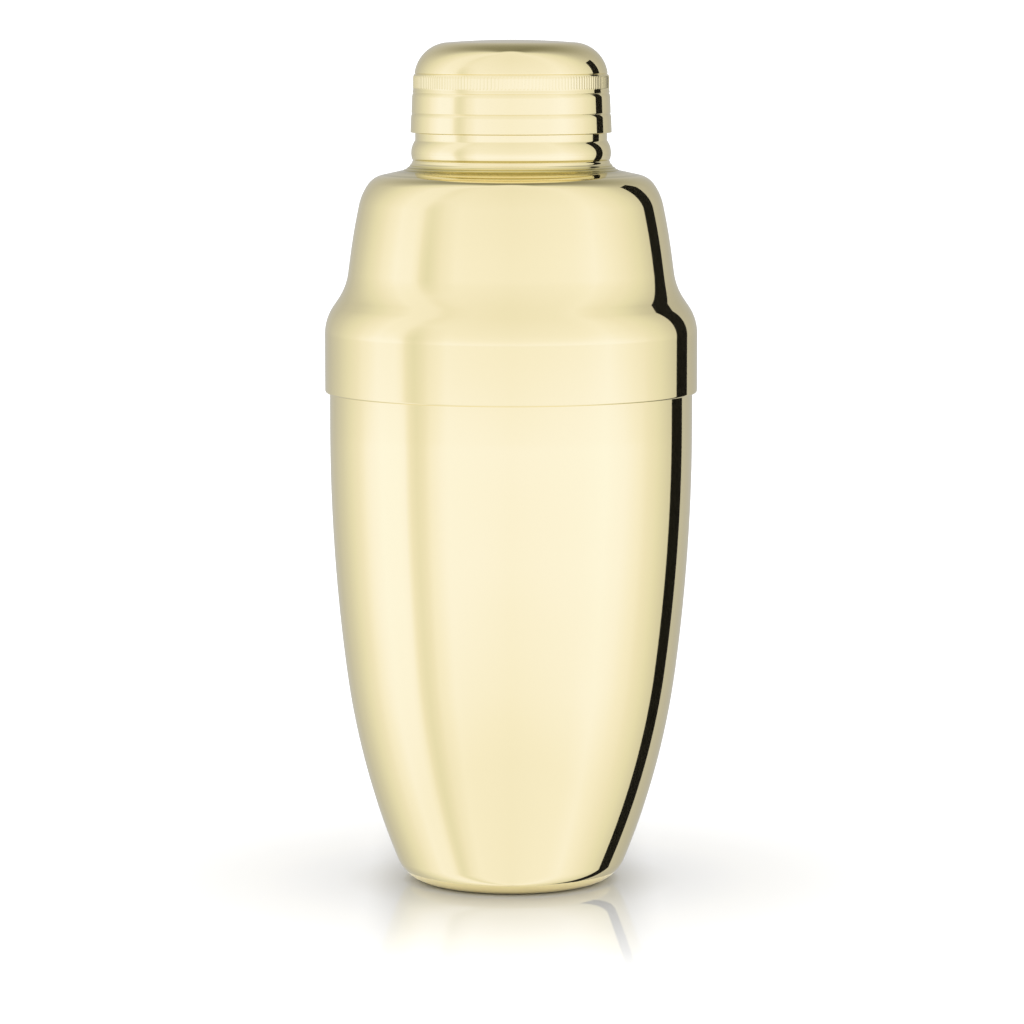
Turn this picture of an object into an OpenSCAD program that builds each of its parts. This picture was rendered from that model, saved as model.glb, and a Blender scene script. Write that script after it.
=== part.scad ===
// Three-piece cocktail shaker: a drawn cup, a shoulder with its strainer, and a cap.
// Millimetres. The closed shaker stands upright on z = 0 with its axis on Z.
// A shell is one outline used twice: at its outer face, and moved in by the wall.
// Angles along an outline are those of its outward normal above the horizontal,
// so 0 is an upright wall and 90 is a level top.

/* [Overall] */
// Height of the closed shaker
total_h = 190.9; // [190.5:0.1:192]
// Thickness of the drawn sheet
wall = 1; // [0.8:0.05:1.1]
// Radial clearance where one piece slides over another
fit_gap = 0.08; // [0.02:0.01:0.1]

/* [Cup] */
// Diameter of the cup at its mouth
mouth_d = 81.94; // [81:0.02:83]
// Height of the cup's mouth above the collar's straight part
mouth_rise = 1.1; // [0.2:0.1:1.2]
// Height where the side becomes a plain cylinder
widest_h = 103.5; // [100:0.5:107]
// Height where the two curves of the side meet
side_join_h = 48; // [43:0.5:52]
// Radius of the upper curve of the side
side_upper_r = 421; // [390:1:450]
// Radius of the lower curve of the side
side_lower_r = 175; // [168:1:184]
// Radius of the corner between side and bottom
base_corner_r = 8.2; // [7:0.1:9]
// Radius inside which the bottom rises off the table
foot_inner_r = 15.5; // [13:0.1:16]
// Rise of the bottom at its middle
bottom_rise = 1; // [0.5:0.1:1.5]

/* [Shoulder] */
// Height of the collar's lower lip
collar_h = 111.7; // [109:0.1:114]
// Height where the collar starts to turn in
step_h = 124.9; // [124.5:0.1:125.3]
// Radius of the turn at the top of the collar
step_out_r = 11; // [10.5:0.1:12]
// Radius of the turn back to the shoulder's wall
step_in_r = 13.8; // [12:0.1:15]
// Angle of the slope between the two turns
step_a = 34.2; // [32:0.1:36]
// Length of that slope
step_l = 2; // [1.6:0.1:2.3]
// Lean of the shoulder's wall
wall_a = 7.6; // [7:0.1:8.2]
// Height where the wall starts to curve in
wall_h = 142.7; // [141:0.1:144]
// Radius of that slow curve
wall_curve_r = 142; // [120:1:170]
// Angle at the end of the slow curve
wall_end_a = 12.2; // [11.5:0.1:12.6]
// Radius of the shoulder's upper corner, first part
corner_r = 12.5; // [12:0.1:13]
// Angle where the corner tightens
corner_a = 35.4; // [34.6:0.2:36]
// Radius of the upper corner, second part
crown_r = 5.25; // [5:0.05:5.4]
// Angle of the shoulder's top, nearly level
crown_a = 77.5; // [76.5:0.1:78]

/* [Neck] */
// Radius of the hollow between the shoulder's top and the neck
root_r = 3.9; // [3.5:0.1:4.2]
// Angle at which the hollow runs into the crease under the bead
root_a = 28; // [25:0.5:31]
// Radius of the crease under the bead
crease_r = 22.3; // [22.25:0.01:22.33]
// Largest radius of the bead
bead_max_r = 22.5; // [22.45:0.01:22.55]
// Height of the bead's largest radius
bead_h = 165.6; // [165.5:0.05:166]
// Radius of the bead's outline
bead_curve_r = 4.8; // [4.6:0.1:5]
// Radius of the visible neck
neck_r = 21.6; // [21.5:0.01:21.65]
// Height of the ledge that the cap rests on
seat_h = 170.1; // [169.8:0.05:170.4]
// Gap between ledge and cap
seat_gap = 0.05; // [0.02:0.01:0.1]
// Radius of the neck inside the cap
spigot_r = 21; // [20.9:0.01:21.1]
// Height of the neck inside the cap
spigot_l = 11.4; // [9:0.1:11.5]

/* [Strainer] */
// Diameter of a strainer hole
hole_d = 3; // [2:0.1:3.2]
// Spacing of the rings of holes
hole_pitch = 4.7; // [4.2:0.1:4.8]
// Number of rings around the middle hole
hole_rings = 3; // [1:1:3]
// Thickness of the strainer
strainer_t = 0.8; // [0.6:0.1:0.9]
// Radius where the strainer turns down from its rim
dish_r = 20.2; // [20:0.1:20.4]
// Radius of the turns between rim, side and floor
dish_turn_r = 1.2; // [1:0.1:1.4]
// Slant length of the dish's side
dish_side_l = 2; // [1:0.1:2.5]

/* [Cap] */
// Radius of the cap at its rim
rim_r = 22.64; // [22.6:0.01:22.7]
// Heights of the three bands, from the rim up
band_heights = [4.35, 4.55, 4.3]; // [4.1:0.05:4.6]
// How much smaller each band starts than the one below
band_step = 0.24; // [0.2:0.01:0.26]
// How much each band narrows towards its top
band_taper = 0.12; // [0.1:0.01:0.15]
// Radius of the rounded upper edge of each band
edge_r = 2.1; // [1.8:0.1:2.4]
// Angle of that edge where it meets the groove
edge_a = 25; // [20:1:28]
// Depth of the grooves that part the bands, under the edge above
groove_depth = 0.24; // [0.2:0.01:0.3]
// Height from the middle of a groove to that edge
groove_half = 0.18; // [0.12:0.01:0.2]
// Radius of the circle that the dome's corner turns about
dome_core_r = 13.84; // [13.8:0.01:13.9]
// Radius of the dome's corner
dome_corner_r = 7.93; // [7.85:0.01:7.97]
// Angle where the corner runs into the nearly flat crown
dome_a = 85.4; // [85:0.1:86]
// Number of ribs in the knurled band
rib_count = 168; // [100:4:200]
// Height of the ribs above the band's sunken field
rib_depth = 0.14; // [0.1:0.01:0.2]
// Smooth margin under the ribs
rib_low_margin = 0.9; // [0.7:0.05:1.2]
// Smooth margin over the ribs, up to the middle of the groove
rib_top_margin = 0.4; // [0.3:0.05:0.8]

/* [Hidden] */
$fn = 120;
gold = "#e9dcae";
deep_gold = "#d9c88c";
steps = 8;
long_steps = 16;
lip_r = wall / 2;
lean_a = 150;

// Point at radius r and angle a from the origin
function polar(r, a) = [r * cos(a), r * sin(a)];
// Direction of travel along an outline whose outward normal is at angle a
function along(a) = [-sin(a), cos(a)];
// Arc about c, without its end point, which the next stretch begins with
function arc(c, r, a0, a1, n = steps) =
    [for (i = [0:n - 1]) c + polar(r, a0 + (a1 - a0) * i / n)];
// Bulging and hollow stretches of an outline, moved in by inset
function bulge(c, r, a0, a1, inset, n = steps) = arc(c, r - inset, a0, a1, n);
function hollow(c, r, a0, a1, inset, n = steps) = arc(c, -(r + inset), a0, a1, n);
// Rounded end of a wall whose outer face is at radius r
function lip(r, h, a1) = arc([r - lip_r, h], lip_r, 0, a1);
function reversed(p) = [for (i = [len(p) - 1:-1:0]) p[i]];

// Cup: two curves that meet with one slope, above a rounded corner and a raised bottom
mouth_r = mouth_d / 2;
cup_h = step_h + mouth_rise;
upper_c = [mouth_r - side_upper_r, widest_h];
join_a = -asin((widest_h - side_join_h) / side_upper_r);
lower_c = upper_c + polar(side_upper_r - side_lower_r, join_a);
corner_drop = base_corner_r - lower_c.y;
base_a = asin(corner_drop / (side_lower_r - base_corner_r));
base_corner_c = lower_c + polar(side_lower_r - base_corner_r, base_a);
bottom_r = (pow(foot_inner_r, 2) + pow(bottom_rise, 2)) / (2 * bottom_rise);
bottom_a = asin(foot_inner_r / bottom_r);

function cup_outline(inset) = concat(
    arc([0, bottom_rise - bottom_r], bottom_r + inset, 90, 90 - bottom_a),
    [[foot_inner_r, inset]],
    bulge(base_corner_c, base_corner_r, -90, base_a, inset),
    bulge(lower_c, side_lower_r, base_a, join_a, inset, long_steps),
    bulge(upper_c, side_upper_r, join_a, 0, inset, long_steps),
    [[mouth_r - inset, widest_h]]);

// Shoulder: each stretch starts where the last one ends, with the same slope
collar_r = mouth_r + fit_gap + wall;
step_out_c = [collar_r - step_out_r, step_h];
slope_low = step_out_c + polar(step_out_r, step_a);
slope_top = slope_low + step_l * along(step_a);
step_in_c = slope_top + polar(step_in_r, step_a);
wall_low = step_in_c - polar(step_in_r, wall_a);
wall_top = wall_low + (wall_h - wall_low.y) / cos(wall_a) * along(wall_a);
wall_c = wall_top - polar(wall_curve_r, wall_a);
corner_c = wall_c + polar(wall_curve_r - corner_r, wall_end_a);
crown_c = corner_c + polar(corner_r - crown_r, corner_a);
crown_end = crown_c + polar(crown_r, crown_a);

// Neck: a hollow, the bead, a straight stretch, the ledge and the spigot in the cap
root_start_r = crease_r + root_r * (cos(root_a) - cos(crown_a));
level_l = (crown_end.x - root_start_r) / sin(crown_a);
root_c = crown_end + level_l * along(crown_a) + polar(root_r, crown_a);
bead_c = [bead_max_r - bead_curve_r, bead_h];
bead_low_a = -acos((crease_r - bead_c.x) / bead_curve_r);
bead_top_a = acos((neck_r - bead_c.x) / bead_curve_r);
bead_top_h = bead_h + bead_curve_r * sin(bead_top_a);
lip_h = seat_h + spigot_l;

function shoulder_outline(inset) = concat(
    bulge(step_out_c, step_out_r, 0, step_a, inset),
    [slope_low - polar(inset, step_a)],
    hollow(step_in_c, step_in_r, step_a, wall_a, inset),
    [wall_low - polar(inset, wall_a)],
    bulge(wall_c, wall_curve_r, wall_a, wall_end_a, inset),
    bulge(corner_c, corner_r, wall_end_a, corner_a, inset),
    bulge(crown_c, crown_r, corner_a, crown_a, inset),
    [crown_end - polar(inset, crown_a)],
    hollow(root_c, root_r, crown_a, root_a, inset),
    [root_c - polar(root_r + inset, root_a)],
    bulge(bead_c, bead_curve_r, bead_low_a, bead_top_a, inset),
    [[neck_r - inset, bead_top_h]],
    [[neck_r - inset, seat_h - inset * (1 + (neck_r - spigot_r) / wall)]],
    [[spigot_r - inset, seat_h - inset]]);

// Strainer: a shallow dish whose rim is held in the hollow of the bead
strainer_r = bead_max_r - wall + 0.05;
strainer_top_h = bead_h + strainer_t / 2;
dish_top_c = [dish_r, strainer_top_h - dish_turn_r];
dish_low_c = dish_top_c + polar(2 * dish_turn_r, lean_a) + dish_side_l * along(lean_a);
dish_floor_h = dish_low_c.y - dish_turn_r;

function strainer_outline(inset) = concat(
    [[strainer_r, strainer_top_h - inset]],
    bulge(dish_top_c, dish_turn_r, 90, lean_a, inset),
    [dish_top_c + polar(dish_turn_r - inset, lean_a)],
    hollow(dish_low_c, dish_turn_r, lean_a, 90, inset),
    [[dish_low_c.x, dish_floor_h - inset], [0, dish_floor_h - inset]]);

// Cap: three bands parted by grooves, under a dome
cap_h = seat_h + seat_gap;
bore_r = spigot_r + fit_gap;
rim_bevel = 0.15;
bore_bevel = 0.3;
top_band = len(band_heights) - 1;
function band_end_h(i) = i < 0 ? cap_h : band_end_h(i - 1) + band_heights[i];
function band_low_r(i) = rim_r - i * band_step;
function band_top_r(i) = band_low_r(i) - band_taper;
rib_low_h = band_end_h(top_band - 1) + rib_low_margin;
rib_high_h = band_end_h(top_band) - rib_top_margin;
rib_end = 0.1;
margin_r = band_top_r(top_band);
crest_r = margin_r - 0.02;
valley_r = crest_r - rib_depth;
field_r = valley_r - 0.1;
dome_top_r = dome_corner_r + dome_core_r / cos(dome_a);
dome_top_c = [0, total_h - dome_top_r];
dome_c = dome_top_c + polar(dome_top_r - dome_corner_r, dome_a);
dome_low_h = band_end_h(top_band) + groove_half;
dome_low_a = asin((dome_low_h - dome_c.y) / dome_corner_r);
dome_low_r = dome_c.x + dome_corner_r * cos(dome_low_a);

// Rounded upper edge of band i, and the groove above band i, up to radius r_above
function edge_c(i) =
    [band_top_r(i) - edge_r, band_end_h(i) - groove_half - edge_r * sin(edge_a)];
function edge(i) = concat(
    bulge(edge_c(i), edge_r, 0, edge_a, 0),
    [edge_c(i) + polar(edge_r, edge_a)]);
function groove(i, r_above) =
    [[r_above - groove_depth, band_end_h(i)], [r_above, band_end_h(i) + groove_half]];

function dome_outline(a0, inset) = concat(
    bulge(dome_c, dome_corner_r, a0, dome_a, inset, long_steps),
    bulge(dome_top_c, dome_top_r, dome_a, 90, inset),
    [[0, total_h - inset]]);

cap_outer = concat(
    [[rim_r - rim_bevel, cap_h], [rim_r, cap_h + rim_bevel]],
    edge(0),
    groove(0, band_low_r(1)),
    edge(1),
    groove(1, band_low_r(2)),
    [[margin_r, rib_low_h], [field_r, rib_low_h], [field_r, rib_high_h]],
    [[margin_r, rib_high_h], [margin_r, band_end_h(2) - groove_half]],
    groove(2, dome_low_r),
    dome_outline(dome_low_a, 0));
cap_inner = concat(
    [[bore_r + bore_bevel, cap_h], [bore_r, cap_h + bore_bevel], [bore_r, dome_c.y]],
    dome_outline(0, wall));

// Solid of revolution between an outer and an inner outline
module shell(outer, inner) {
    rotate_extrude()
        polygon(concat(outer, reversed(inner)));
}

module cup() {
    color(gold)
        shell(
            concat(cup_outline(0), lip(mouth_r, cup_h - lip_r, 180)),
            concat(cup_outline(wall), [[mouth_r - wall, cup_h - lip_r]]));
}

module shoulder() {
    color(gold)
        shell(
            concat(
                reversed(lip(collar_r, collar_h + lip_r, -180)),
                shoulder_outline(0),
                lip(spigot_r, lip_h - lip_r, 180)),
            concat(
                [[collar_r - wall, collar_h + lip_r]],
                shoulder_outline(wall),
                [[spigot_r - wall, lip_h - lip_r]]));
}

module strainer_hole() {
    translate([0, 0, dish_floor_h - 2 * strainer_t])
        cylinder(h = 3 * strainer_t, d = hole_d);
}

// Ring k of the holes has six for each ring's width that it lies from the middle
module strainer_plate() {
    color(deep_gold)
        difference() {
            shell(strainer_outline(0), strainer_outline(strainer_t));
            strainer_hole();
            for (k = [1:hole_rings])
                for (i = [0:6 * k - 1])
                    rotate(60 * i / k)
                        translate([k * hole_pitch, 0, 0])
                            strainer_hole();
        }
}

// Straight ribs, as a star-shaped ring let into the band and into both margins
module ribs() {
    translate([0, 0, rib_low_h - rib_end])
        linear_extrude(rib_high_h - rib_low_h + 2 * rib_end)
            difference() {
                polygon([for (i = [0:2 * rib_count - 1])
                    polar(crest_r - (i % 2) * rib_depth, 180 * i / rib_count)]);
                circle(r = (field_r + bore_r) / 2);
            }
}

module cap() {
    color(gold)
        union() {
            shell(cap_outer, cap_inner);
            ribs();
        }
}

cup();
shoulder();
strainer_plate();
cap();
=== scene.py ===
"""Three-piece cocktail shaker on a pale glossy floor, in soft studio light."""
import math

import bpy
import numpy as np
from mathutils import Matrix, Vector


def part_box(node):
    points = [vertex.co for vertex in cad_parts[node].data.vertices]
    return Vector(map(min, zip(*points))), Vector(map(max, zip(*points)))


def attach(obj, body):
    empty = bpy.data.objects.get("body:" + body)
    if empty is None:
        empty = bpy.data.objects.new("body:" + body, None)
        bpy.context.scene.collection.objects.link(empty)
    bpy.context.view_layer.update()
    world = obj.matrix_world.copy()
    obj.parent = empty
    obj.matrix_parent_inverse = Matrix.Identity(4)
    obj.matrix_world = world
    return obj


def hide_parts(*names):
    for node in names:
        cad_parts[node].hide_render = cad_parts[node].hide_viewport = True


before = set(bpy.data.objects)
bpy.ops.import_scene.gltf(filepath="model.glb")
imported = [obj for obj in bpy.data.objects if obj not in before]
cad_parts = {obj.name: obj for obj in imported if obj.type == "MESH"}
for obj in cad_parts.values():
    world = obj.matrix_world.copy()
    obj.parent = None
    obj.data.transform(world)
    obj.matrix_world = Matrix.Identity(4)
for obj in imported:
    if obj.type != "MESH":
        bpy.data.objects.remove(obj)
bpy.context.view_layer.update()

MM = 0.001
SEGMENTS = 336       # points round each ring
SAME_PLACE = 1e-4    # millimetres between two points that count as one
SHARP = 0.5          # degrees between two normals that make a crease
LONGEST_STEP = 2.5   # millimetres between the points of an arc


# ---------------------------------------------------------------- outlines
# An outline is a list of (radius, height, angle) in millimetres and degrees.
# The angle is the outward normal's, above the horizontal.

def at(centre, r, a):
    """The point at a distance r from a centre, in the direction a."""
    return centre[0] + r * math.cos(math.radians(a)), centre[1] + r * math.sin(math.radians(a))


def arc(centre, r, a0, a1, flip=1):
    """Points round an arc, at smaller angles on a larger radius; flip -1 makes it hollow."""
    turn = abs(a1 - a0)
    turn_step = 2.5 if r > 3 else 4.5 if r > 1 else 9
    length = r * math.radians(turn)
    steps = max(3, math.ceil(turn / turn_step), math.ceil(length / LONGEST_STEP))
    angles = [a0 + (a1 - a0) * i / steps for i in range(steps + 1)]
    return [(*at(centre, flip * r, a), a) for a in angles]


def bulge(centre, r, a0, a1, inset=0.0):
    """An arc that curves outwards; inset is how deep in the wall it runs."""
    return arc(centre, r - inset, a0, a1)


def hollow(centre, r, a0, a1, inset=0.0):
    """An arc that curves inwards, about a centre outside the wall."""
    return arc(centre, r + inset, a0, a1, flip=-1)


def rippled(outline, depth, pitch, cuts=3):
    """Adds faint turning rings, as spinning leaves them, along a smooth stretch."""
    cut = [tuple(np.add(p, np.subtract(q, p) * t / cuts))
           for p, q in zip(outline, outline[1:]) for t in range(cuts)] + [outline[-1]]
    way, rings = 0.0, []
    for i, (r, h, a) in enumerate(cut):
        if i:
            way += math.dist(cut[i - 1][:2], (r, h))
        turn = 2 * math.pi * way / pitch
        slope = 2 * math.pi * depth / pitch * math.sin(turn)
        r, h = at((r, h), depth * (math.cos(turn) - 1), a)
        rings.append((r, h, a + math.degrees(math.atan(slope))))
    return rings


def chain(*stretches):
    """Joins stretches; a gap between two becomes a straight line with its own normal."""
    points = []
    for stretch in stretches:
        if points:
            (r0, h0, a0), (r1, h1, a1) = points[-1], stretch[0]
            if math.hypot(r1 - r0, h1 - h0) > SAME_PLACE:
                a = math.degrees(math.atan2(r0 - r1, h1 - h0))
                if turned(a, a0) > SHARP:
                    points.append((r0, h0, a))
                if turned(a, a1) > SHARP:
                    points.append((r1, h1, a))
            elif turned(a0, a1) < SHARP:
                points.pop()
        points.extend(stretch)
    return points


def turned(a, b):
    """The angle between two directions, from 0 to 180."""
    return abs((a - b + 180) % 360 - 180)


def flipped(outline):
    """The same line walked the other way, as the inner face of a shell."""
    return [(r, h, a + 180) for r, h, a in reversed(outline)]


# ---------------------------------------------------------------- sizes
# In millimetres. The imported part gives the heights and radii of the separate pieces.

def top(node):
    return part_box(node)[1][2] / MM


def low(node):
    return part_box(node)[0][2] / MM


def widest(node):
    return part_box(node)[1][0] / MM


WALL = 1.0
LIP = WALL / 2
FIT = 0.08
SPIGOT_R = 21.0
SEAT_GAP = 0.05
TOTAL_H = top("cap")
CAP_H = low("cap")
RIM_R = widest("cap")
LIP_H = top("shoulder")
COLLAR_H = low("shoulder")
COLLAR_R = widest("shoulder")
CUP_H = top("cup")
MOUTH_R = widest("cup")


def cup_outlines():
    """The cup's outer face, from the middle of its base to the lip, and its inner face."""
    widest_h, join_h, upper_r, lower_r, corner_r = 103.5, 48, 421, 175, 8.2
    foot_r, rise = 15.5, 1.0
    upper = (MOUTH_R - upper_r, widest_h)
    join_a = -math.degrees(math.asin((widest_h - join_h) / upper_r))
    lower = at(upper, upper_r - lower_r, join_a)
    base_a = math.degrees(math.asin((corner_r - lower[1]) / (lower_r - corner_r)))
    corner = at(lower, lower_r - corner_r, base_a)
    dish_r = (foot_r ** 2 + rise ** 2) / (2 * rise)
    dish_a = math.degrees(math.asin(foot_r / dish_r))

    def side(inset):
        return chain(
            bulge(corner, corner_r, -90, base_a, inset),
            bulge(lower, lower_r, base_a, join_a, inset),
            bulge(upper, upper_r, join_a, 0, inset),
            [(MOUTH_R - inset, CUP_H - LIP, 0)])

    dish = (0, rise - dish_r)
    blend_r, blend_h, blend_a = foot_r - 0.6, 0.03, -88
    under = [(r, h, a + 180) for r, h, a in arc(dish, dish_r, 90, 90 - dish_a) if r < blend_r]
    under += [(blend_r, blend_h, blend_a), (foot_r, 0, -90)]
    floor = [p for p in arc(dish, dish_r + WALL, 90, 90 - dish_a) if p[0] < blend_r]
    floor.append((foot_r, WALL, 90))
    outer = chain(under, side(0), bulge((MOUTH_R - LIP, CUP_H - LIP), LIP, 0, 180))
    return outer, chain(flipped(side(WALL)), list(reversed(floor)))


def shoulder_profile(inset):
    """The shoulder's face from the collar's lip up to the spigot's, or one set in from it."""
    step_h = 124.9
    step_out_r, step_a, step_l, step_in_r = 11, 34.2, 2, 13.8
    wall_a, wall_h, wall_curve_r, wall_end_a = 7.6, 142.7, 142, 12.2
    corner_r, corner_a, crown_r, crown_a = 12.5, 35.4, 5.25, 77.5
    root_r, root_a, crease_r = 3.9, 20, 22.1
    bead_max_r, bead_h, bead_curve_r, neck_r = 22.5, 165.6, 4.8, 21.6

    def along(p, a, length):
        return p[0] - length * math.sin(math.radians(a)), p[1] + length * math.cos(math.radians(a))

    step_out = (COLLAR_R - step_out_r, step_h)
    slope_top = along(at(step_out, step_out_r, step_a), step_a, step_l)
    step_in = at(slope_top, step_in_r, step_a)
    wall_low = at(step_in, -step_in_r, wall_a)
    wall_top = along(wall_low, wall_a, (wall_h - wall_low[1]) / math.cos(math.radians(wall_a)))
    wall = at(wall_top, -wall_curve_r, wall_a)
    corner = at(wall, wall_curve_r - corner_r, wall_end_a)
    crown = at(corner, corner_r - crown_r, corner_a)
    crown_end = at(crown, crown_r, crown_a)
    root_w = root_r * (math.cos(math.radians(root_a)) - math.cos(math.radians(crown_a)))
    level_l = (crown_end[0] - crease_r - root_w) / math.sin(math.radians(crown_a))
    root = at(along(crown_end, crown_a, level_l), root_r, crown_a)
    neck_hollow = hollow(root, root_r, crown_a, root_a, inset)
    ring_depth, ring_pitch = 0.03, 0.9
    bead = (bead_max_r - bead_curve_r, bead_h)
    bead_low_a, under_r, under_a = -14, 1.2, -60
    under = at(bead, bead_curve_r - under_r, bead_low_a)
    fillet_r = 0.6
    bead_top_a = math.degrees(math.acos((neck_r + fillet_r - bead[0]) / (bead_curve_r + fillet_r)))
    fillet = at(bead, bead_curve_r + fillet_r, bead_top_a)
    edge = 0.12
    ledge_h = CAP_H - SEAT_GAP
    inner_corner = 1.6 * inset
    return chain(
        [(COLLAR_R - inset, COLLAR_H + LIP, 0)],
        bulge(step_out, step_out_r, 0, step_a, inset),
        hollow(step_in, step_in_r, step_a, wall_a, inset),
        bulge(wall, wall_curve_r, wall_a, wall_end_a, inset),
        bulge(corner, corner_r, wall_end_a, corner_a, inset),
        bulge(crown, crown_r, corner_a, crown_a, inset),
        neck_hollow if inset else rippled(neck_hollow, ring_depth, ring_pitch),
        *([bulge(under, under_r, under_a, bead_low_a)] if not inset else []),
        bulge(bead, bead_curve_r, bead_low_a, bead_top_a, inset),
        hollow(fillet, fillet_r, bead_top_a, 0, inset),
        bulge((neck_r - edge, ledge_h - edge), edge, 0, 90) if not inset
        else [(neck_r - inset, ledge_h - inner_corner, 0)],
        [(SPIGOT_R - inset, ledge_h - inset, 90)],
        [(SPIGOT_R - inset, LIP_H - LIP, 0)])


def shoulder_outlines():
    """The shoulder's outer face with both its lips, and its inner face."""
    lip_low = bulge((COLLAR_R - LIP, COLLAR_H + LIP), LIP, -180, 0)
    lip_top = bulge((SPIGOT_R - LIP, LIP_H - LIP), LIP, 0, 180)
    return chain(lip_low, shoulder_profile(0), lip_top), flipped(shoulder_profile(WALL))


# The cap's side has three bands, each narrower than the one below it and tapered upwards,
# with a rounded top edge and a groove above it. The top band carries the ribs.

BAND_HEIGHTS = (4.35, 4.55, 4.3)
BAND_STEP = 0.24
BAND_TAPER = 0.12
RIB_LOW_MARGIN = 0.9
RIB_TOP_MARGIN = 0.4
RIB_COUNT = 168
RIB_MARGIN = 0.12
RIB_DEPTH = 0.09
GROOVE_HALF = 0.18
EDGE_R = 2.1
EDGE_A = 25


def band_end(i):
    """Height of the middle of the groove above a band of the cap."""
    return CAP_H + sum(BAND_HEIGHTS[:i + 1])


def band_low_r(i):
    return RIM_R - i * BAND_STEP


def band_top_r(i):
    return band_low_r(i) - BAND_TAPER


RIB_LOW = band_end(1) + RIB_LOW_MARGIN
RIB_HIGH = band_end(2) - RIB_TOP_MARGIN
RIB_R = band_top_r(2)


def edge_centre(i):
    """Centre of the rounding at the top of a band."""
    edge_h = EDGE_R * math.sin(math.radians(EDGE_A))
    return band_top_r(i) - EDGE_R, band_end(i) - GROOVE_HALF - edge_h


def rib_base(h):
    """Radius and normal angle of the ribbed band at a height."""
    centre = edge_centre(2)
    a = math.asin(max(0.0, h - centre[1]) / EDGE_R)
    return centre[0] + EDGE_R * math.cos(a), math.degrees(a)


def cap_outlines():
    """The cap's inner face down to its rim, and its outer face below and above the ribs."""
    dome_core_r, dome_corner_r, dome_a = 13.84, 7.93, 85.4
    dome_top_r = dome_corner_r + dome_core_r / math.cos(math.radians(dome_a))
    dome_top = (0, TOTAL_H - dome_top_r)
    dome = at(dome_top, dome_top_r - dome_corner_r, dome_a)
    dome_low_a = math.degrees(math.asin((band_end(2) + GROOVE_HALF - dome[1]) / dome_corner_r))
    dome_low_r = dome[0] + dome_corner_r * math.cos(math.radians(dome_low_a))

    def band_edge(i, start=0):
        return bulge(edge_centre(i), EDGE_R, start, EDGE_A)

    def groove(i, r_above):
        lip_r, lip_a, root_r, root_a = 0.3, -45, 0.1, 40
        lip = (r_above - lip_r, band_end(i) + GROOVE_HALF)
        root = at(lip, lip_r + root_r, lip_a)
        return [hollow(root, root_r, root_a, lip_a), bulge(lip, lip_r, lip_a, 0)]

    def dome_outline(a0, inset):
        return [bulge(dome, dome_corner_r, a0, dome_a, inset),
                bulge(dome_top, dome_top_r, dome_a, 90, inset)]

    rim_edge = 0.15
    bore_r, bevel, bevel_a = SPIGOT_R + FIT, 0.3, -135
    inner = chain(
        *[flipped(stretch) for stretch in reversed(dome_outline(0, WALL))],
        [(bore_r, CAP_H + bevel, 180)])
    below_ribs = chain(
        [(bore_r, CAP_H + bevel, bevel_a)],
        [(bore_r + bevel, CAP_H, bevel_a)],
        [(bore_r + bevel, CAP_H, -90)],
        bulge((RIM_R - rim_edge, CAP_H + rim_edge), rim_edge, -90, 0),
        band_edge(0), *groove(0, band_low_r(1)),
        band_edge(1), *groove(1, band_low_r(2)),
        [(RIB_R, RIB_LOW - RIB_MARGIN, 0)])
    above_ribs = chain(
        band_edge(2, rib_base(RIB_HIGH + RIB_MARGIN)[1]),
        *groove(2, dome_low_r),
        *dome_outline(dome_low_a, 0))
    return inner, below_ribs, above_ribs


# ---------------------------------------------------------------- meshes

def ring_points(r, h):
    """The points of a level ring about the axis."""
    phi = np.linspace(0, 2 * math.pi, SEGMENTS, endpoint=False)
    return list(zip(r * MM * np.cos(phi), r * MM * np.sin(phi), [h * MM] * SEGMENTS))


def ring_normals(a):
    """The normals round a level ring, at the angle a above the horizontal."""
    phi = np.linspace(0, 2 * math.pi, SEGMENTS, endpoint=False)
    up, out = math.sin(math.radians(a)), math.cos(math.radians(a))
    return list(zip(out * np.cos(phi), out * np.sin(phi), [up] * SEGMENTS))


def lathe(outline):
    """Vertices, faces and normals of the surface that an outline sweeps about the axis."""
    verts, normals, rows, faces = [], [], [], []
    for r, h, a in outline:
        if r < SAME_PLACE:
            rows.append([len(verts)] * SEGMENTS)
            verts.append((0, 0, h * MM))
            normals.append((0, 0, math.copysign(1, math.sin(math.radians(a)))))
            continue
        rows.append(range(len(verts), len(verts) + SEGMENTS))
        verts.extend(ring_points(r, h))
        normals.extend(ring_normals(a))
    for i in range(len(rows) - 1):
        if math.dist(outline[i][:2], outline[i + 1][:2]) < SAME_PLACE:
            continue
        for j in range(SEGMENTS):
            k = (j + 1) % SEGMENTS
            faces.append((rows[i][j], rows[i][k], rows[i + 1][k], rows[i + 1][j]))
    return verts, faces, normals


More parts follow.
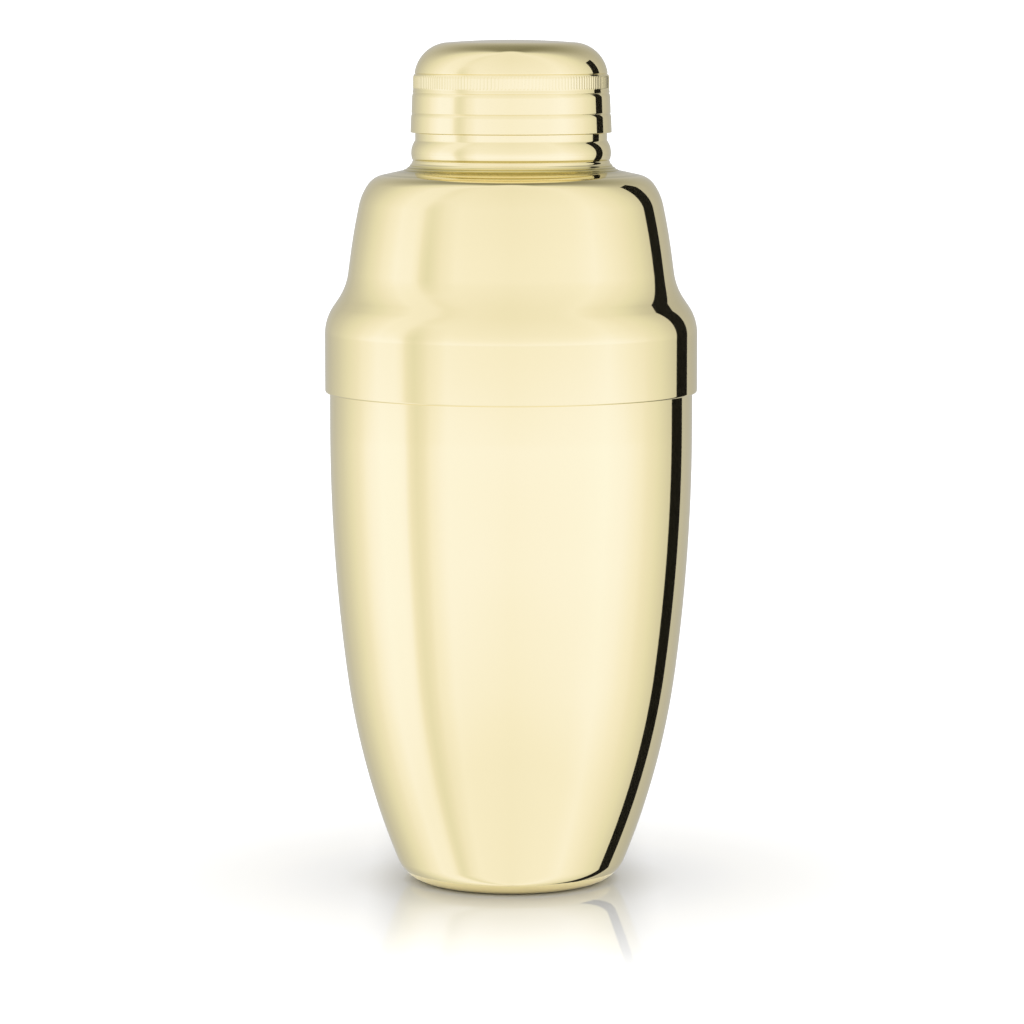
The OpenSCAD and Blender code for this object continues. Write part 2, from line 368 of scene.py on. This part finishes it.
def rib_ring():
    """The knurled field: fine upright grooves that run out at both ends.

    Each row of points has a height and its share of the grooves' full depth. A ring with
    fewer points, stitched on above and below, meets the plain band.
    """
    per_rib, groove_half = 8, 0.3
    count = RIB_COUNT * per_rib
    step = count // SEGMENTS
    run_in = ((0, 0.0), (0.1, 0.45), (0.22, 0.85), (0.4, 1.0))
    run_out = ((0.6, 1.0), (0.4, 1.0), (0.25, 1.0), (0.12, 0.8), (0.05, 0.4), (0, 0.0))
    rows = [(RIB_LOW + way, depth) for way, depth in run_in]
    rows += [(RIB_HIGH - way, depth) for way, depth in run_out]
    j = np.arange(count)
    phi = 2 * math.pi * j / count
    part = (j % per_rib) / per_rib
    dip = np.clip(1 - np.abs(part - 0.5) / groove_half, 0, 1)
    dip = dip * dip * (3 - 2 * dip)
    grid = np.zeros((len(rows), count, 3))
    for i, (h, depth) in enumerate(rows):
        r = (rib_base(h)[0] - RIB_DEPTH * depth * dip) * MM
        grid[i] = np.stack([r * np.cos(phi), r * np.sin(phi), np.full(count, h * MM)], axis=1)
    round_way = np.roll(grid, -1, axis=1) - np.roll(grid, 1, axis=1)
    up_way = np.zeros_like(grid)
    up_way[1:-1] = grid[2:] - grid[:-2]
    normal = np.cross(round_way, up_way)
    for i in (0, -1):
        a = math.radians(rib_base(rows[i][0])[1])
        normal[i] = np.stack([math.cos(a) * np.cos(phi), math.cos(a) * np.sin(phi),
                              math.sin(a) + 0 * phi], axis=1)
    normal /= np.linalg.norm(normal, axis=2, keepdims=True)
    verts, normals = grid.reshape(-1, 3).tolist(), normal.reshape(-1, 3).tolist()
    faces = []
    for i in range(len(rows) - 1):
        for a in range(count):
            b = (a + 1) % count
            faces.append((i * count + a, i * count + b, (i + 1) * count + b, (i + 1) * count + a))
    for h in (RIB_LOW - RIB_MARGIN, RIB_HIGH + RIB_MARGIN):
        r, a = rib_base(h)
        verts += ring_points(r, h)
        normals += ring_normals(a)
    under = len(rows) * count
    over, last = under + SEGMENTS, (len(rows) - 1) * count
    for a in range(SEGMENTS):
        b = (a + 1) % SEGMENTS
        near = [(a * step + i) % count for i in range(step + 1)]
        faces.append((under + a, under + b, *reversed(near)))
        faces.append((*[last + i for i in near], over + b, over + a))
    return verts, faces, normals


def weld(parts):
    """One mesh from several, with touching points joined and a normal for each face corner."""
    places = 8
    points, verts, faces, normals, finish = {}, [], [], [], []
    for i, (part_verts, part_faces, part_normals) in parts:
        finish += [i] * len(part_faces)
        joined = []
        for vert in part_verts:
            key = tuple(round(float(c), places) for c in vert)
            if key not in points:
                points[key] = len(verts)
                verts.append(vert)
            joined.append(points[key])
        for face in part_faces:
            corners = {joined[v]: part_normals[v] for v in face}
            faces.append(tuple(corners))
            normals.extend(corners.values())
    return verts, faces, normals, finish


def make_piece(name, parts, body, node, materials):
    """A closed shell; each part is (place in materials, (vertices, faces, normals))."""
    verts, faces, normals, finish = weld(parts)
    mesh = bpy.data.meshes.new(name)
    mesh.from_pydata(verts, [], faces)
    mesh.shade_smooth()
    mesh.normals_split_custom_set(normals)
    for material in materials:
        mesh.materials.append(material)
    mesh.polygons.foreach_set("material_index", finish)
    piece = bpy.data.objects.new(name, mesh)
    bpy.context.scene.collection.objects.link(piece)
    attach(piece, body)
    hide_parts(node)
    return piece


# ---------------------------------------------------------------- materials

def new_material(name):
    """A material, its node tree and its shader."""
    material = bpy.data.materials.new(name)
    material.use_nodes = True
    return material, material.node_tree, material.node_tree.nodes["Principled BSDF"]


def add(tree, kind, **values):
    """A node with its properties, and its inputs by name, set."""
    node = tree.nodes.new(kind)
    for key, value in values.items():
        if hasattr(node, key):
            setattr(node, key, value)
        else:
            node.inputs[key.replace("_", " ")].default_value = value
    return node


def maths(tree, operation, *values):
    """A sum over numbers and other nodes' outputs."""
    node = add(tree, "ShaderNodeMath", operation=operation)
    for socket, value in zip(node.inputs, values):
        if isinstance(value, (int, float)):
            socket.default_value = value
        else:
            tree.links.new(value, socket)
    return node.outputs[0]


def remapped(tree, value, source=(0.0, 1.0), target=(0.0, 1.0), curve="LINEAR"):
    """Value stretched from one range to another."""
    node = add(tree, "ShaderNodeMapRange", interpolation_type=curve, From_Min=source[0],
               From_Max=source[1], To_Min=target[0], To_Max=target[1])
    tree.links.new(value, node.inputs["Value"])
    return node.outputs["Result"]


def mixed(tree, share, first, second, blend_type="MIX"):
    """Two colours mixed; share is a number or another node's output."""
    node = add(tree, "ShaderNodeMix", data_type="RGBA", blend_type=blend_type)
    share_socket, first_socket, second_socket = (node.inputs[i] for i in (0, 6, 7))
    if isinstance(share, float):
        share_socket.default_value = share
    else:
        tree.links.new(share, share_socket)
    tree.links.new(first, first_socket)
    tree.links.new(second, second_socket)
    return node.outputs[2]


def split(tree, vector):
    """The x, y and z of a vector."""
    node = add(tree, "ShaderNodeSeparateXYZ")
    tree.links.new(vector, node.inputs[0])
    return node.outputs["X"], node.outputs["Y"], node.outputs["Z"]


def ramp(tree, value, stops):
    """A colour ramp over value; each stop is (position, grey or (r, g, b)).

    All the positions are set before the colours, because a moved stop can change places.
    """
    node = tree.nodes.new("ShaderNodeValToRGB")
    elements = node.color_ramp.elements
    while len(elements) < len(stops):
        elements.new(0.5)
    for element, (position, _) in zip(elements, stops):
        element.position = position
    for element, (_, colour) in zip(elements, stops):
        rgb = (colour,) * 3 if isinstance(colour, (int, float)) else colour
        element.color = (*rgb, 1)
    tree.links.new(value, node.inputs["Fac"])
    return node.outputs["Color"]


def metal(name, pale, deep, rough, lines, painted_shade=(), metallic=1.0):
    """Plated metal: colour drifts a little, and the polish carries faint turning lines.

    painted_shade gives painted shade for a hollow: the share of the colour kept at each height in
    millimetres.
    """
    material, tree, shader = new_material(name)
    coords = add(tree, "ShaderNodeTexCoord").outputs["Object"]
    drift = add(tree, "ShaderNodeTexNoise", Scale=28.0, Detail=2.0)
    tree.links.new(coords, drift.inputs["Vector"])
    colour = ramp(tree, drift.outputs["Fac"], [(0.3, deep), (0.7, pale)])
    # Painted shade: the colour is darkened in rings along the height of a hollow.
    if painted_shade:
        low_h, high_h = painted_shade[0][0], painted_shade[-1][0]
        climb = remapped(tree, split(tree, coords)[2], (low_h * MM, high_h * MM))
        tone = ramp(tree, climb, [
            ((h - low_h) / (high_h - low_h), (level, level ** 1.05, level ** 2.0))
            for h, level in painted_shade])
        colour = mixed(tree, 1.0, colour, tone, "MULTIPLY")
    tree.links.new(colour, shader.inputs["Base Color"])
    stretched = add(tree, "ShaderNodeMapping", Scale=(30.0, 30.0, 9000.0))
    tree.links.new(coords, stretched.inputs["Vector"])
    rings = add(tree, "ShaderNodeTexNoise", Scale=1.0, Detail=3.0)
    tree.links.new(stretched.outputs["Vector"], rings.inputs["Vector"])
    spread = remapped(tree, rings.outputs["Fac"], target=(rough * 0.8, rough * 1.25))
    tree.links.new(spread, shader.inputs["Roughness"])
    bump = add(tree, "ShaderNodeBump", Strength=lines, Distance=0.00001)
    tree.links.new(rings.outputs["Fac"], bump.inputs["Height"])
    tree.links.new(bump.outputs["Normal"], shader.inputs["Normal"])
    shader.inputs["Metallic"].default_value = metallic
    return material


PLATE = {"pale": (0.932, 0.834, 0.505), "deep": (0.926, 0.826, 0.492),
         "rough": 0.045, "lines": 0.02}
# Painted shade in the neck's hollow under the bead, in rings: the share of colour kept at each
# height in millimetres.
NECK_PAINTED_SHADE = ((160.50, 1.0), (160.70, 0.62), (160.95, 0.92), (161.20, 0.78), (161.48, 0.5),
             (161.85, 0.55), (162.10, 0.85), (162.32, 0.5), (162.55, 0.95), (162.75, 0.7),
             (162.95, 1.0))
gold = metal("gold_plate", **PLATE)
gold_neck_painted_shade = metal("gold_plate_neck_painted_shade", **PLATE, painted_shade=NECK_PAINTED_SHADE)
inside = metal("gold_plate_inside", (0.90, 0.80, 0.50), (0.87, 0.77, 0.47), 0.32, 0.15,
               metallic=0.6)
satin = metal("satin_gold", (0.80, 0.69, 0.44), (0.76, 0.64, 0.39), 0.22, 0.2)


# ---------------------------------------------------------------- the shaker

cup_out, cup_in = cup_outlines()
make_piece("cup_shell", [(0, lathe(cup_out)), (1, lathe(cup_in))], "cup_body", "cup",
           (gold, inside))
shoulder_out, shoulder_in = shoulder_outlines()
make_piece("shoulder_shell", [(0, lathe(shoulder_out)), (1, lathe(shoulder_in))],
           "strainer_body", "shoulder", (gold_neck_painted_shade, inside))
cap_in, cap_low, cap_high = cap_outlines()
make_piece("cap_shell", [(1, lathe(cap_in)), (0, lathe(cap_low)), (0, rib_ring()),
                         (0, lathe(cap_high))], "cap_body", "cap", (gold, inside))

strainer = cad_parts["strainer_plate"]
strainer.data.materials.clear()
strainer.data.materials.append(satin)


# ---------------------------------------------------------------- studio

FLOOR_RINGS = (0.0, 0.12, 0.6, 3.0, 60.0)
FLOOR_FADE = 0.2
SIDE_BLEND = (0.022, 0.034)
BOUNCE_R = 0.0245
BOUNCE_H = 0.00002
CARD_REACH = 0.131
CARD_WIDTH = 0.035
CARD_FOOT = (112.0, -0.4)
CARD_HEAD = (115.4, 0.25)


def stage_piece(name, verts, faces, material):
    """A piece of the studio, which isn't part of the object."""
    mesh = bpy.data.meshes.new(name)
    mesh.from_pydata(verts, [], faces)
    mesh.materials.append(material)
    obj = bpy.data.objects.new(name, mesh)
    bpy.context.scene.collection.objects.link(obj)
    return obj


def mirrored_only(obj):
    """Leaves a piece of the studio to be seen in reflections alone."""
    obj.visible_camera = False
    obj.visible_diffuse = False
    obj.visible_shadow = False


def floor_material():
    """Pale polished floor, glossier close to the object, with a painted shadow that darkens it
    towards the base, and to a cooler grey beside it.

    The ramps run over the distance from the axis, from 0 to FLOOR_FADE.
    """
    material, tree, shader = new_material("pale_floor_painted_shadow")
    coords = add(tree, "ShaderNodeTexCoord").outputs["Object"]
    distance = add(tree, "ShaderNodeVectorMath", operation="LENGTH")
    tree.links.new(coords, distance.inputs[0])
    away = maths(tree, "MULTIPLY", distance.outputs["Value"], 1 / FLOOR_FADE)
    # Painted shadow on the floor, darkest at the base: one ramp for the front and one, cooler, for
    # the sides.
    front = ramp(tree, away, [
        (0.10, 0.55), (0.21, 0.72), (0.35, 0.85), (0.46, 0.92), (0.55, 0.95)])
    side_painted_shadow = ramp(tree, away, [
        (0.10, (0.80, 0.81, 0.84)), (0.15, (0.87, 0.88, 0.91)), (0.19, (0.95, 0.96, 0.99)),
        (0.24, (0.975, 0.98, 0.995)), (0.28, 1.0)])
    aside = maths(tree, "ABSOLUTE", split(tree, coords)[0])
    beside = remapped(tree, aside, SIDE_BLEND, curve="SMOOTHSTEP")
    tree.links.new(mixed(tree, beside, front, side_painted_shadow), shader.inputs["Base Color"])
    polish = ramp(tree, away, [
        (0.20, 0.5), (0.28, 0.4), (0.36, 0.25), (0.46, 0.08), (0.54, 0.0)])
    tree.links.new(polish, shader.inputs["Specular IOR Level"])
    shader.inputs["Roughness"].default_value = 0.03
    return material


def matt_material(name, dark, light, roughness):
    """A surface without gloss, very slightly mottled."""
    material, tree, shader = new_material(name)
    noise = add(tree, "ShaderNodeTexNoise", Scale=40.0)
    tone = ramp(tree, noise.outputs["Fac"], [(0.3, dark), (0.7, light)])
    tree.links.new(tone, shader.inputs["Base Color"])
    shader.inputs["Roughness"].default_value = roughness
    shader.inputs["Specular IOR Level"].default_value = 0.0
    return material


def floor_ring(name, inner, outer, material, height=0.0):
    """A flat ring of floor; the disc in the middle is the ring whose inner radius is 0."""
    segments = 96
    phi = [2 * math.pi * j / segments for j in range(segments)]
    verts = [(r * math.cos(a), r * math.sin(a), height) for r in (inner, outer) for a in phi]
    faces = [(j, segments + j, segments + (j + 1) % segments, (j + 1) % segments)
             for j in range(segments)]
    if inner == 0:
        verts, faces = verts[segments:], [tuple(range(segments))]
    return stage_piece(name, verts, faces, material)


def build_floor():
    """Rings of floor, and under the base a disc for its metal to mirror."""
    pale = floor_material()
    for i, (inner, outer) in enumerate(zip(FLOOR_RINGS, FLOOR_RINGS[1:])):
        floor_ring(f"floor_{i}", inner, outer, pale).visible_glossy = False
    bounce = matt_material("floor_under_base", 0.93, 0.95, 0.5)
    mirrored_only(floor_ring("floor_bounce", 0, BOUNCE_R, bounce, BOUNCE_H))


def card_edge(bearing, height):
    """The card's two corners at one height; the bearing is from the front, round to the right."""
    x, y = math.sin(math.radians(bearing)), -math.cos(math.radians(bearing))
    half = CARD_WIDTH / 2
    return [(x * CARD_REACH - s * y * half, y * CARD_REACH + s * x * half, height) for s in (-1, 1)]


def build_card():
    """The black card whose mirror image is the dark stripe down the right side."""
    corners = card_edge(*CARD_FOOT) + card_edge(*CARD_HEAD)[::-1]
    black = matt_material("black_card", 0.008, 0.012, 0.9)
    mirrored_only(stage_piece("black_card", corners, [(0, 1, 2, 3)], black))


def directions(tree):
    """The bearing and the climb of every direction, where 0 is -180 degrees and 1 is 180.

    A bearing of 0 degrees is the front and one of 90 is the right.
    """
    x, y, z = split(tree, add(tree, "ShaderNodeTexCoord").outputs["Generated"])

    def turn(angle):
        return maths(tree, "MULTIPLY_ADD", angle, 0.5 / math.pi, 0.5)

    bearing = turn(maths(tree, "ARCTAN2", x, maths(tree, "MULTIPLY", y, -1.0)))
    return bearing, turn(maths(tree, "ARCSINE", z))


def studio_level(tree):
    """How bright the studio is in every direction, from 0 to 1."""
    bearing, climb = directions(tree)

    def by_degrees(value, *stops):
        return ramp(tree, value, [((a + 180) / 360, v) for a, v in stops])

    def product(first, second):
        return maths(tree, "MULTIPLY", first, second)

    wall = by_degrees(
        bearing, (-180, 0.53), (-165, 0.53), (-150, 0.55), (-135, 0.66), (-120, 0.82),
        (-105, 0.94), (-90, 1.0), (-40, 0.98), (0, 0.96), (45, 0.98), (62, 1.0), (75, 0.97),
        (90, 0.92), (105, 0.82), (120, 0.66), (135, 0.55), (150, 0.49), (165, 0.48), (180, 0.53))
    heights = by_degrees(
        climb, (-35, 0.94), (-14, 0.99), (-5.3, 1.0), (-4.95, 0.955), (-4.1, 0.95), (-2, 0.985),
        (8, 0.95), (20, 0.93), (60, 0.90), (90, 0.89))
    panel = by_degrees(
        bearing, (-76, 0.0), (-71, 0.15), (-66, 0.75), (-62, 1.0), (-58, 0.8), (-52, 0.35),
        (-40, 0.0))
    panel_heights = by_degrees(climb, (-60, 0.75), (0, 1.0), (8, 1.0), (35, 0.2))
    panel_depth = 0.17
    gap = by_degrees(
        bearing, (-160, 1.0), (-140, 0.8), (-118, 0.0), (100, 0.0), (138, 0.8), (160, 1.0))
    gap_heights = by_degrees(
        climb, (22, 0.0), (30, 0.06), (40, 0.2), (50, 0.36), (60, 0.46), (70, 0.5), (79, 0.5),
        (84, 0.0))
    ceiling = by_degrees(climb, (80, 0.0), (85, 1.0))
    ceiling_level = 0.87

    dim = product(product(panel, panel_heights), panel_depth)
    dark = product(gap, gap_heights)
    level = product(wall, heights)
    level = product(level, maths(tree, "SUBTRACT", 1.0, dim))
    level = product(level, maths(tree, "SUBTRACT", 1.0, dark))
    lift = product(ceiling, maths(tree, "SUBTRACT", ceiling_level, level))
    return maths(tree, "ADD", level, lift)


def build_world():
    """White studio: even light on the floor, and a wall, a gap and a ceiling in the metal.

    The metal mirrors a wall that is dim behind the object, with a faint darker panel at its
    left, a dark gap above the wall and a pale ceiling.
    """
    world = bpy.data.worlds.new("studio")
    bpy.context.scene.world = world
    world.use_nodes = True
    tree = world.node_tree
    tree.nodes.clear()
    mirrored_strength, light_strength = 1.44, 1.4
    seen = ramp(tree, studio_level(tree), [
        (0.0, 0.0), (0.25, (0.188, 0.184, 0.150)), (0.5, (0.375, 0.370, 0.360)),
        (0.79, (0.591, 0.591, 0.566)), (0.87, (0.652, 0.643, 0.658)),
        (0.92, (0.702, 0.700, 0.767)), (0.96, (0.735, 0.748, 0.897)), (1.0, (0.750, 0.782, 0.962))])
    reflected = add(tree, "ShaderNodeBackground", Strength=mirrored_strength)
    tree.links.new(seen, reflected.inputs["Color"])
    soft = add(tree, "ShaderNodeBackground", Color=(1, 1, 1, 1), Strength=light_strength)
    rays = add(tree, "ShaderNodeLightPath")
    blend = add(tree, "ShaderNodeMixShader")
    tree.links.new(rays.outputs["Is Glossy Ray"], blend.inputs[0])
    tree.links.new(soft.outputs[0], blend.inputs[1])
    tree.links.new(reflected.outputs[0], blend.inputs[2])
    surface = add(tree, "ShaderNodeOutputWorld")
    tree.links.new(blend.outputs[0], surface.inputs["Surface"])


build_floor()
build_card()
build_world()
bpy.context.scene.view_settings.view_transform = "Standard"

CAMERA_PLACE = (0.0002, -1.0501, 0.19852)
CAMERA_DIP = 6.2095

camera_data = bpy.data.cameras.new("camera")
camera_data.lens = 163.69
camera_data.sensor_width = 36.0
camera = bpy.data.objects.new("camera", camera_data)
camera.location = CAMERA_PLACE
camera.rotation_euler = (math.radians(90 - CAMERA_DIP), 0, 0)
bpy.context.scene.collection.objects.link(camera)
bpy.context.scene.camera = camera
